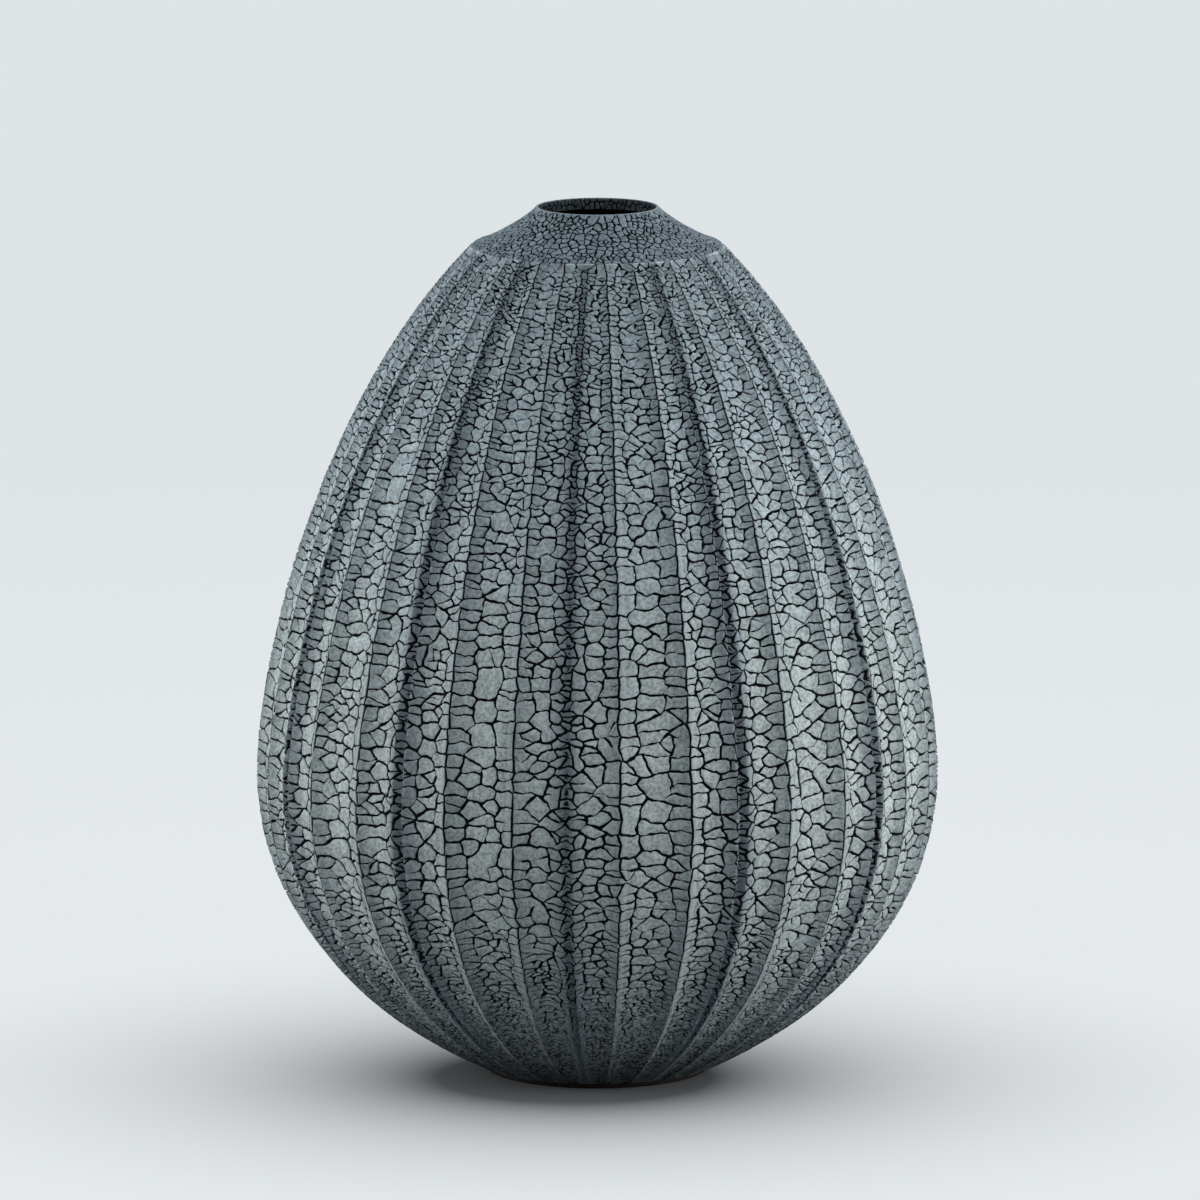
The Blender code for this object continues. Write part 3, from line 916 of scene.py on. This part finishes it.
def flute_columns():
    """Bearings round the jar, closer together in narrow flutes, with one on every ridge."""
    bearings = []
    for group in range(FLUTE_GROUPS):
        for edge, angle, count in zip(FLUTE_EDGES, FLUTE_ANGLES, FLUTE_CUTS):
            bearings.append(FIRST_RIDGE + group * GROUP_ANGLE + edge + angle * np.arange(count) / count)
    return np.concatenate(bearings)


def wall_piece(material):
    """The dark carved wall that shows in the cracks, hollow inside."""
    bearing = flute_columns()
    climbs = np.linspace(0.0, EGG.top, 110)
    outside = [on_wall(bearing, np.full(len(bearing), climb), BED * SLIP) for climb in climbs]
    outside[-1][:, 2] -= WALL_TOP_GAP
    inside = []
    for climb in climbs[-3:4:-4]:
        radius, height, inward_radius, inward_height = EGG.read(climb)
        inner_radius = max(radius + inward_radius * WALL_DEPTH, SPIGOT_RADIUS)
        inside.append(level_ring(bearing, inner_radius, height + inward_height * WALL_DEPTH))
    mesh = loft("fluted_wall_carved", outside + inside)
    place(mesh.name, mesh, material, "fluted_wall", "dark_clay")


def skirt_piece(material):
    """The fine, uncracked slip round the bottom of the wall."""
    bearing = flute_columns()
    climbs = np.linspace(0.0, EGG.climb_at(SKIRT_HEIGHT), 40)
    outside = [on_wall(bearing, np.full(len(bearing), climb), 0.0) for climb in climbs]
    backs = [on_wall(bearing, np.full(len(bearing), climb), SLIP) for climb in climbs[::-1]]
    heights = np.repeat(EGG.height(np.append(climbs, climbs[::-1])), len(bearing))
    bearings = np.tile(bearing, 2 * len(climbs))
    attributes = {
        "Warmth": warmth_of(heights, nearness_to_ridge(flute_at(bearings)[1])),
        # Painted shade on the flutes' sides, as on the plates
        "Shade": shade_of(heights) * painted_flank_shade(bearings),
        "Pitting": pitting_of(heights),
        # Painted shade in and beside the grooves
        "GrooveShade": groove_painted_shade(bearings, FOOT_RADIUS),
    }
    mesh = loft("body_slip_skirt", outside + backs, attributes)
    place(mesh.name, mesh, material, "body_slip", "body_slip")


def coat_mark(outward):
    """Climb on the collar's coat where the lip ring starts, on the flare or in the neck."""
    crest = int(np.argmax(COAT.heights))
    along = np.concatenate([[0.0], np.cumsum(np.hypot(np.diff(COAT.radii), np.diff(COAT.heights)))])
    return float(np.interp(along[crest] + (-LIP_EDGE if outward else LIP_EDGE), along, COAT.climbs))


def part_of_coat(low, high):
    """The part of the coat's outline between two climbs, and the surface read along it."""
    inner = (COAT.climbs > low) & (COAT.climbs < high)
    ends = [[COAT.radius(climb), COAT.height(climb)] for climb in (low, high)]
    points = np.column_stack([COAT.radii, COAT.heights])[inner]

    def surface(bearing, climb, below):
        return on_collar(bearing, climb + low, below)

    return Outline(np.vstack([ends[:1], points, ends[1:]]), COLLAR_STRETCH), surface


def collar_slip_piece(rng, name, low, high, size, opening, material):
    """The finely cracked slip on one part of the collar."""
    outline, surface = part_of_coat(low, high)
    climb = rng.uniform(0.0, outline.top, COLLAR_TRIES)
    places = np.column_stack([rng.uniform(0.0, tau, COLLAR_TRIES), climb])
    drawn = drawn_seeds(rng, outline, outline.radius(climb), size)
    seeds = settle(rng, places[drawn] * [outline.stretch, 1.0], outline, COLLAR_SETTLING)
    no_line = np.zeros(len(seeds))
    outlines = plate_outlines(
        rng, outline, seeds, no_line, lambda bearing, climb: opening, COLLAR_FAMILY_SIZE)
    wander_off(make_wander(rng, COLLAR_WANDER), outline, outlines, False)
    mesh = plates(rng, name, surface, outline, outlines, COLLAR_SLIP, (pi, COLLAR_SHEET * tau), False)
    place(name, mesh, material, "collar_slip", "collar_slip")


def lip_piece(material):
    """The thin lip, where the slip runs over the edge unbroken."""
    climbs = np.linspace(coat_mark(True), coat_mark(False), 24)
    rows = COAT.read(climbs)
    outside = np.column_stack(rows[:2])
    back = outside + np.column_stack(rows[2:]) * LIP_SLIP
    # The lip's outside up to its crest is paler: partly wear, partly a painted highlight on the edge
    before_crest = climbs < COAT.climbs[np.argmax(COAT.heights)]
    worn_and_lit = np.append(before_crest, np.zeros(len(back)))
    mesh = turned("collar_slip_lip", np.vstack([outside, back[::-1]]), worn_and_lit)
    place(mesh.name, mesh, material, "collar_slip", "collar_slip")


def collar_piece(material):
    """The dark collar under its slip, with the spigot that sits in the wall's mouth."""
    flare = np.linspace(0.0, coat_mark(True), 50)
    neck = np.linspace(coat_mark(False), COAT.top, 8)
    rows = COAT.read(np.append(flare, neck))
    skin = np.column_stack(rows[:2]) + np.column_stack(rows[2:]) * BED * COLLAR_SLIP
    rows = COAT.read(np.linspace(*(share * coat_mark(True) for share in UNDER_COLLAR), 14))
    under = np.column_stack(rows[:2]) + np.column_stack(rows[2:]) * (COLLAR_WALL + COLLAR_SLIP)
    foot = [
        (SPIGOT_RADIUS - COLLAR_WALL, STEP_HEIGHT - SPIGOT_LENGTH),
        (SPIGOT_RADIUS - SPIGOT_CLEARANCE, STEP_HEIGHT - SPIGOT_LENGTH),
        (SPIGOT_RADIUS - SPIGOT_CLEARANCE, STEP_HEIGHT + SPIGOT_SEAT),
    ]
    under = under[under[:, 0] < SPIGOT_RADIUS - COLLAR_WALL]
    mesh = turned("shoulder_collar_clay", np.vstack([skin, under, foot]))
    place(mesh.name, mesh, material, "shoulder_collar", "dark_clay")


def foot_piece(material):
    """The low bare foot with its rounded edges."""
    outer, inner = FOOT_RADIUS, FOOT_RADIUS - FOOT_WIDTH
    turn = np.linspace(0.0, pi / 2, 9)
    low_outer = np.column_stack([outer - FOOT_EDGE + FOOT_EDGE * np.cos(turn),
                                 FOOT_EDGE - FOOT_EDGE * np.sin(turn)])
    low_inner = np.column_stack([inner + INNER_EDGE - INNER_EDGE * np.cos(turn),
                                 INNER_EDGE - INNER_EDGE * np.sin(turn)])
    profile = np.vstack([low_outer[::-1], [[outer, FOOT_HEIGHT]], [[inner, FOOT_HEIGHT]], low_inner])
    mesh = turned("foot_ring_turned", profile)
    place(mesh.name, mesh, material, "foot_ring", "foot_clay")


def new_node(tree, kind, **settings):
    """A node with its settings."""
    node = tree.nodes.new(kind)
    for name, value in settings.items():
        setattr(node, name, value)
    return node


def feed(tree, socket, value):
    """Link a socket to another, or set it to a number or a colour."""
    if isinstance(value, bpy.types.NodeSocket):
        tree.links.new(value, socket)
    elif isinstance(value, tuple) and len(value) == 3 and socket.type == "RGBA":
        socket.default_value = (*value, 1.0)
    else:
        socket.default_value = value


def mix_colours(tree, share, first, second, blend="MIX"):
    """A colour between two."""
    node = new_node(tree, "ShaderNodeMix", data_type="RGBA", blend_type=blend)
    feed(tree, node.inputs[0], share)
    feed(tree, node.inputs[6], first)
    feed(tree, node.inputs[7], second)
    return node.outputs[2]


def calculate(tree, operation, first, second, third=None):
    """One step of arithmetic."""
    node = new_node(tree, "ShaderNodeMath", operation=operation)
    feed(tree, node.inputs[0], first)
    feed(tree, node.inputs[1], second)
    if third is not None:
        feed(tree, node.inputs[2], third)
    return node.outputs[0]


def map_range(tree, value, low, high, to_low=0.0, to_high=1.0):
    """A value carried from one range to another, kept inside it."""
    node = new_node(tree, "ShaderNodeMapRange", clamp=True)
    for socket, number in zip(node.inputs[:5], (value, low, high, to_low, to_high)):
        feed(tree, socket, number)
    return node.outputs[0]


def noise(tree, place, scale, detail, roughness=0.5):
    """Noise in the pot's own space."""
    node = new_node(tree, "ShaderNodeTexNoise")
    feed(tree, node.inputs["Vector"], place)
    node.inputs["Scale"].default_value = scale
    node.inputs["Detail"].default_value = detail
    node.inputs["Roughness"].default_value = roughness
    return node.outputs[0]


def value_of(tree, label):
    """A value kept on the mesh's points."""
    return new_node(tree, "ShaderNodeAttribute", attribute_name=label).outputs["Fac"]


def fired_surface_group():
    """Cloudy patches, fine grain and pin-sized pits of a fired matt surface."""
    group = bpy.data.node_groups.new("Fired surface", "ShaderNodeTree")
    group.interface.new_socket("Cloud size", in_out="INPUT", socket_type="NodeSocketFloat")
    for label in ("Clouds", "Grain", "Pits"):
        group.interface.new_socket(label, in_out="OUTPUT", socket_type="NodeSocketFloat")
    entry = new_node(group, "NodeGroupInput")
    result = new_node(group, "NodeGroupOutput")
    place_on_pot = new_node(group, "ShaderNodeTexCoord").outputs["Object"]
    clouds = new_node(group, "ShaderNodeTexNoise")
    feed(group, clouds.inputs["Vector"], place_on_pot)
    feed(group, clouds.inputs["Scale"], entry.outputs["Cloud size"])
    clouds.inputs["Detail"].default_value = 4.0
    grain = noise(group, place_on_pot, 900.0, 2.0, 0.6)
    pits = new_node(group, "ShaderNodeTexVoronoi", feature="F1")
    feed(group, pits.inputs["Vector"], place_on_pot)
    pits.inputs["Scale"].default_value = 420.0
    feed(group, result.inputs["Clouds"], map_range(group, clouds.outputs[0], 0.3, 0.7))
    feed(group, result.inputs["Grain"], grain)
    feed(group, result.inputs["Pits"], map_range(group, pits.outputs["Distance"], 0.16, 0.10))
    return group


def new_material(name):
    """An empty material with its shader."""
    material = bpy.data.materials.new(name)
    material.use_nodes = True
    tree = material.node_tree
    shader = tree.nodes["Principled BSDF"]
    shader.inputs["Specular IOR Level"].default_value = 0.05
    return material, tree, shader


def finish_surface(tree, shader, colour, grain, low, high, bump):
    """Send the colour, a grainy roughness and a fine bump to the shader."""
    feed(tree, shader.inputs["Base Color"], colour)
    feed(tree, shader.inputs["Roughness"], map_range(tree, grain, 0.3, 0.7, low, high))
    relief = new_node(tree, "ShaderNodeBump")
    relief.inputs["Strength"].default_value = 0.5
    relief.inputs["Distance"].default_value = bump
    feed(tree, relief.inputs["Height"], grain)
    feed(tree, shader.inputs["Normal"], relief.outputs[0])


def bead_and_highlight_stripe(tree):
    """1 on a stripe beside each ridge, right of it on the jar's right half, else left of it, on the side
    that the lamps light: partly a paler bead of slip, partly a painted highlight.
    """
    place_on_pot = new_node(tree, "ShaderNodeSeparateXYZ")
    feed(tree, place_on_pot.inputs[0], new_node(tree, "ShaderNodeTexCoord").outputs["Object"])
    right, back = place_on_pot.outputs[:2]
    bearing = calculate(tree, "ARCTAN2", right, calculate(tree, "MULTIPLY", back, -1.0))
    square = calculate(tree, "MULTIPLY_ADD", right, right, calculate(tree, "MULTIPLY", back, back))
    radius = calculate(tree, "POWER", square, 0.5)
    outward = calculate(tree, "MULTIPLY", radius, calculate(tree, "SIGN", right, 0.0))
    width = map_range(tree, radius, *STRIPE_RADII, *STRIPE_WIDTHS)
    stripe = 0.0
    for edge in FLUTE_EDGES[:2]:
        turn = calculate(tree, "SUBTRACT", bearing, FIRST_RIDGE + edge)
        turn = calculate(tree, "WRAP", turn, GROUP_ANGLE / 2, -GROUP_ANGLE / 2)
        way = calculate(tree, "MULTIPLY", turn, outward)
        begun = map_range(tree, way, -STRIPE_SOFTNESS / 2, STRIPE_SOFTNESS / 2)
        left = calculate(tree, "SUBTRACT", width, way)
        ended = map_range(tree, left, -STRIPE_SOFTNESS, STRIPE_SOFTNESS)
        stripe = calculate(tree, "MULTIPLY_ADD", begun, ended, stripe)
    return stripe


def slip_material(name, surface_group, warm, cool, plated, fluted=False):
    """Matt slip: cloudy grey, warmer in the flutes, with painted shade in the grooves, on the flutes' sides
    and down the cracks, and a pale painted highlight, partly paler slip and wear, on the ridges' lit sides,
    the lip's edge and the step's edge.
    """
    material, tree, shader = new_material(name)
    surface = new_node(tree, "ShaderNodeGroup", node_tree=surface_group)
    surface.inputs["Cloud size"].default_value = 160.0
    clouds, grain, pits = (surface.outputs[label] for label in ("Clouds", "Grain", "Pits"))
    shade, pitting = value_of(tree, "Shade"), value_of(tree, "Pitting")
    colour = mix_colours(tree, value_of(tree, "Warmth"), cool, warm)
    patch = map_range(tree, clouds, 0.0, 1.0, 0.86, 1.12)
    patch = calculate(tree, "MULTIPLY", patch, map_range(tree, grain, 0.36, 0.64, 0.80, 1.20))
    patch = calculate(tree, "MULTIPLY", patch, shade)
    speckle = map_range(tree, grain, 0.42, 0.50, 0.94, 0.0)
    speckle = calculate(tree, "MULTIPLY", speckle, pitting)
    patch = calculate(tree, "MULTIPLY", patch, calculate(tree, "SUBTRACT", 1.0, speckle))
    if plated:
        patch = calculate(tree, "MULTIPLY_ADD", value_of(tree, "Tone"), 0.03, patch)
    grey = new_node(tree, "ShaderNodeCombineColor")
    for socket in grey.inputs[:3]:
        feed(tree, socket, patch)
    colour = mix_colours(tree, 1.0, colour, grey.outputs[0], "MULTIPLY")
    # Painted shade: the grooves are darkened towards a dark blue grey
    groove = calculate(tree, "MULTIPLY", value_of(tree, "GrooveShade"), GROOVE_SHADE_TINT)
    colour = mix_colours(tree, groove, colour, GROOVE_SHADE_COLOUR)
    # Painted highlight, partly paler slip and wear: the ridges' lit sides and the lip's outer edge are
    # lightened
    pale = bead_and_highlight_stripe(tree) if fluted else value_of(tree, "WornAndLit")
    pale = calculate(tree, "MULTIPLY", map_range(tree, pale, 0.0, 1.0, 0.0, HIGHLIGHT_AND_WEAR_TINT), shade)
    colour = mix_colours(tree, pale, colour, PALE_WEAR_AND_HIGHLIGHT)
    colour = mix_colours(tree, calculate(tree, "MULTIPLY", pits, 0.35), colour, DARK_CLAY)
    if plated:
        # Painted shade: the cracks' walls darken towards the dark clay colour further down
        colour = mix_colours(tree, map_range(tree, value_of(tree, "Depth"), 0.25, 0.66), colour, DARK_CLAY)
        # Painted highlight: a broken pale line along the step's edge
        rim = calculate(tree, "MULTIPLY", value_of(tree, "StepHighlight"), map_range(tree, clouds, 0.3, 0.7, 0.0, 0.9))
        colour = mix_colours(tree, rim, colour, PALE_WEAR_AND_HIGHLIGHT)
    finish_surface(tree, shader, colour, grain, 0.70, 0.90, 0.15 * MM)
    return material


def clay_material(name, surface_group, colour):
    """Bare fired clay with clouds and grain."""
    material, tree, shader = new_material(name)
    surface = new_node(tree, "ShaderNodeGroup", node_tree=surface_group)
    surface.inputs["Cloud size"].default_value = 90.0
    pale = tuple(channel * 1.5 for channel in colour)
    tinted = mix_colours(tree, surface.outputs["Clouds"], colour, pale)
    tinted = mix_colours(tree, calculate(tree, "MULTIPLY", surface.outputs["Pits"], 0.6), tinted, DARK_CLAY)
    finish_surface(tree, shader, tinted, surface.outputs["Grain"], 0.78, 0.95, 0.25 * MM)
    return material


def floor_material():
    """Pale studio floor, which the camera sees evenly lit further from the jar; near the jar a dark floor
    colour keeps the real shadow and adds a painted shadow pool that fades with distance.
    """
    material, tree, shader = new_material("studio_floor")
    place_on_floor = new_node(tree, "ShaderNodeTexCoord").outputs["Object"]
    clouds = noise(tree, place_on_floor, 1.5, 2.0)
    darker = tuple(channel * 0.985 for channel in SHADOW_POOL_FLOOR)
    seen = seen_directly(tree)
    pale = mix_colours(tree, clouds, darker, SHADOW_POOL_FLOOR)
    feed(tree, shader.inputs["Base Color"], mix_colours(tree, seen, FLOOR_IN_LIGHT, pale))
    shader.inputs["Roughness"].default_value = 0.9
    shader.inputs["Specular IOR Level"].default_value = 0.0
    glow = new_node(tree, "ShaderNodeEmission")
    reach = new_node(tree, "ShaderNodeVectorMath", operation="DISTANCE")
    squeezed = new_node(tree, "ShaderNodeVectorMath", operation="MULTIPLY")
    feed(tree, squeezed.inputs[0], place_on_floor)
    squeezed.inputs[1].default_value = SHADOW_SQUEEZE
    feed(tree, reach.inputs[0], squeezed.outputs[0])
    reach.inputs[1].default_value = SHADOW_MIDDLE
    # The glow's share grows with distance from a point in front of the jar, which shapes the painted shadow
    # pool
    end = SHADOW_EDGE + HALVINGS * SHADOW_HALVING
    halvings = map_range(tree, reach.outputs["Value"], SHADOW_EDGE, end, 0.0, HALVINGS)
    far = map_range(tree, calculate(tree, "POWER", 0.5, halvings), 1.0, SHADOW_REST)
    away = map_range(tree, reach.outputs["Value"], *FLOOR_FADE)
    feed(tree, glow.inputs["Color"], mix_colours(tree, away, STUDIO_NEAR, STUDIO_FAR))
    share = calculate(tree, "MULTIPLY", far, seen)
    show_mix(tree, "Material Output", share, shader.outputs[0], glow.outputs[0])
    return material


def show_mix(tree, output, share, first, second):
    """Send a mix of two shaders to the output."""
    both = new_node(tree, "ShaderNodeMixShader")
    for socket, value in zip(both.inputs, (share, first, second)):
        feed(tree, socket, value)
    feed(tree, tree.nodes[output].inputs["Surface"], both.outputs[0])


def seen_directly(tree):
    """1 for what the camera sees, also in a reflection or through glass."""
    path = new_node(tree, "ShaderNodeLightPath")
    mirrored = calculate(tree, "MAXIMUM", path.outputs["Is Glossy Ray"], path.outputs["Is Transmission Ray"])
    return calculate(tree, "MAXIMUM", path.outputs["Is Camera Ray"], mirrored)


def studio_floor():
    """A wide pale floor under the jar."""
    mesh = bpy.data.meshes.new("studio_floor")
    corners = [(x * FLOOR_REACH, y * FLOOR_REACH, 0) for x, y in ((-1, -1), (1, -1), (1, 1), (-1, 1))]
    mesh.from_pydata(corners, [], [(0, 1, 2, 3)])
    floor = bpy.data.objects.new("studio_floor", mesh)
    mesh.materials.append(floor_material())
    bpy.context.scene.collection.objects.link(floor)


def aim_at(thing, place):
    """Turn a lamp or camera towards a place."""
    aim = Vector(place) - thing.location
    thing.rotation_euler = aim.to_track_quat("-Z", "Y").to_euler()


def softbox(name, bearing, distance, height, size, watts):
    """A soft lamp at a bearing from the jar, aimed at its belly."""
    lamp = bpy.data.lights.new(name, "AREA")
    lamp.shape = "RECTANGLE"
    lamp.size, lamp.size_y = size
    lamp.energy = watts
    box = bpy.data.objects.new(name, lamp)
    box.location = (distance * sin(bearing), -distance * cos(bearing), height)
    aim_at(box, (0.0, 0.0, BELLY_HEIGHT))
    bpy.context.scene.collection.objects.link(box)


def studio_light():
    """Two large soft lamps at the sides and a pale room."""
    softbox("left_softbox", radians(-98), LAMP_DISTANCE, 0.10, LAMP_SIZE, watts=13.3)
    softbox("right_softbox", radians(84), LAMP_DISTANCE, 0.18, LAMP_SIZE, watts=13.1)
    world = bpy.data.worlds.new("studio")
    bpy.context.scene.world = world
    world.use_nodes = True
    tree = world.node_tree
    room = tree.nodes["Background"]
    feed(tree, room.inputs["Color"], ROOM_TINT)
    rise = new_node(tree, "ShaderNodeSeparateXYZ")
    feed(tree, rise.inputs[0], new_node(tree, "ShaderNodeTexCoord").outputs["Generated"])
    towards_back = map_range(tree, rise.outputs["Y"], -1.0, 1.0, *FRONT_TO_BACK)
    towards_top = map_range(tree, rise.outputs["Z"], 0.0, 0.6, *SIDE_TO_TOP)
    feed(tree, room.inputs["Strength"], calculate(tree, "MULTIPLY", towards_back, towards_top))
    backdrop = new_node(tree, "ShaderNodeBackground")
    feed(tree, backdrop.inputs["Color"], STUDIO_FAR)
    show_mix(tree, "World Output", seen_directly(tree), room.outputs[0], backdrop.outputs[0])


def studio_camera():
    """A long lens in front of the jar and a little above it."""
    camera_data = bpy.data.cameras.new("camera")
    camera_data.sensor_width = SENSOR_WIDTH
    camera_data.lens = CAMERA_LENS
    camera = bpy.data.objects.new("camera", camera_data)
    camera.location = CAMERA_PLACE
    aim_at(camera, CAMERA_AIM)
    bpy.context.scene.collection.objects.link(camera)
    bpy.context.scene.camera = camera


def main():
    """Build the pieces with their materials, then the studio round them."""
    rng = np.random.default_rng(SEED)
    surface = fired_surface_group()
    dark = clay_material("dark_clay", surface, DARK_CLAY)
    foot = clay_material("foot_clay", surface, FOOT_CLAY)
    body = slip_material("body_slip_cracked", surface, WARM_SLIP, COOL_SLIP, True, True)
    skirt = slip_material("body_slip_fine", surface, WARM_SLIP, COOL_SLIP, False, True)
    collar = slip_material("collar_slip_cracked", surface, COLLAR_TONE, COLLAR_TONE, True)
    # The neck's slip is given a dark colour as painted shade inside the mouth
    neck = slip_material("collar_slip_neck", surface, NECK_PAINTED_SHADE, NECK_PAINTED_SHADE, True)
    lip = slip_material("collar_slip_edge", surface, COLLAR_TONE, COLLAR_TONE, False)
    body_slip_pieces(rng, body)
    skirt_piece(skirt)
    wall_piece(dark)
    flare_ends = (0.0, coat_mark(True))
    neck_ends = (coat_mark(False), COAT.top - NECK_BARE / LIP_RADIUS)
    collar_slip_piece(rng, "collar_slip_flare", *flare_ends, COLLAR_PLATE, COLLAR_OPENING, collar)
    collar_slip_piece(rng, "collar_slip_neck", *neck_ends, NECK_PLATE, NECK_OPENING, neck)
    lip_piece(lip)
    collar_piece(dark)
    foot_piece(foot)
    floor_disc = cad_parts["floor_disc"]
    floor_disc.data.materials.clear()
    floor_disc.data.materials.append(dark)
    studio_floor()
    studio_light()
    studio_camera()
    bpy.context.scene.view_settings.view_transform = "Standard"


main()
